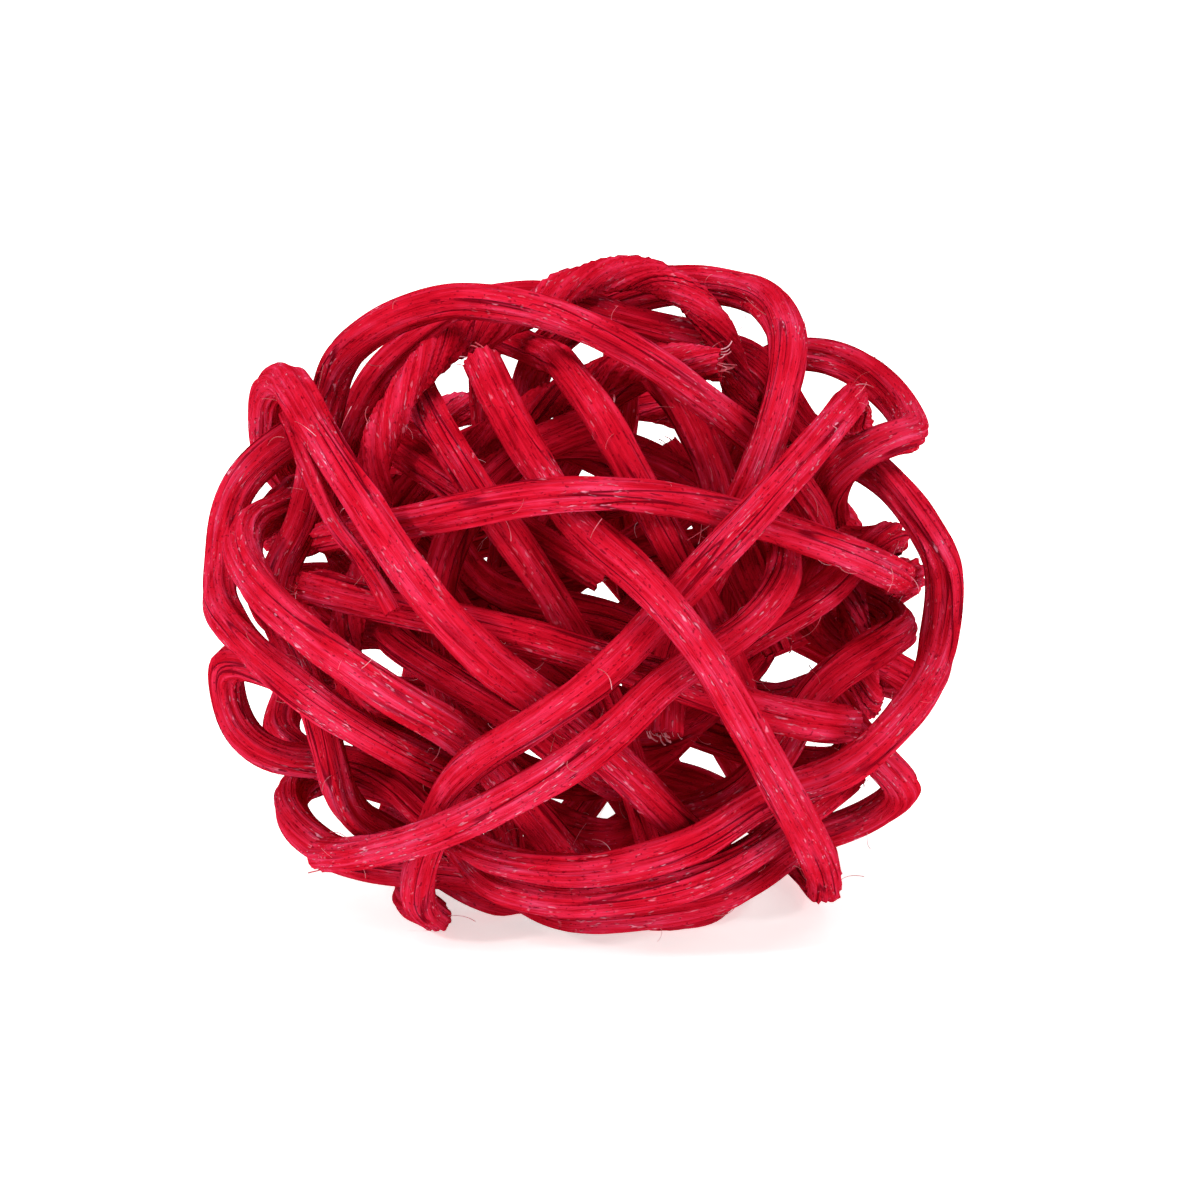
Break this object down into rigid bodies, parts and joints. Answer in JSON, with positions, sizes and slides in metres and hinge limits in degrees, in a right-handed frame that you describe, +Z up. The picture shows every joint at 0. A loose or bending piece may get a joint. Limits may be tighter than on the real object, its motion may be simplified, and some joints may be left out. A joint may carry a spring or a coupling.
{
  "type": "decorative sphere",
  "caption": "Hollow decorative ball wound from long round canes of dyed rattan that pass over and under each other, with flats worn under it.",
  "frame": {"origin": "on the standing surface, under the middle of the ball's width and depth", "axes": "+Z up, the face shown in the picture looks along -Y, +X to its right"},
  "size_m": [0.0522, 0.0501, 0.0456],
  "materials": {
    "dyed_rattan": "matte crimson dye over sanded rattan core"
  },
  "bodies": {
    "root": {"cane_long_diagonal": "dyed_rattan", "cane_frayed": "dyed_rattan", "cane_front_sweep": "dyed_rattan", "cane_left_slope": "dyed_rattan", "cane_top_arch": "dyed_rattan", "cane_middle_arch": "dyed_rattan", "cane_knot": "dyed_rattan", "cane_left_loop": "dyed_rattan", "cane_crown": "dyed_rattan", "cane_steep_pair": "dyed_rattan", "cane_inner_belt": "dyed_rattan", "cane_inner_hoop": "dyed_rattan", "cane_inner_bow": "dyed_rattan", "cane_inner_rise": "dyed_rattan", "cane_inner_fill": "dyed_rattan"}
  },
  "joints": []
}
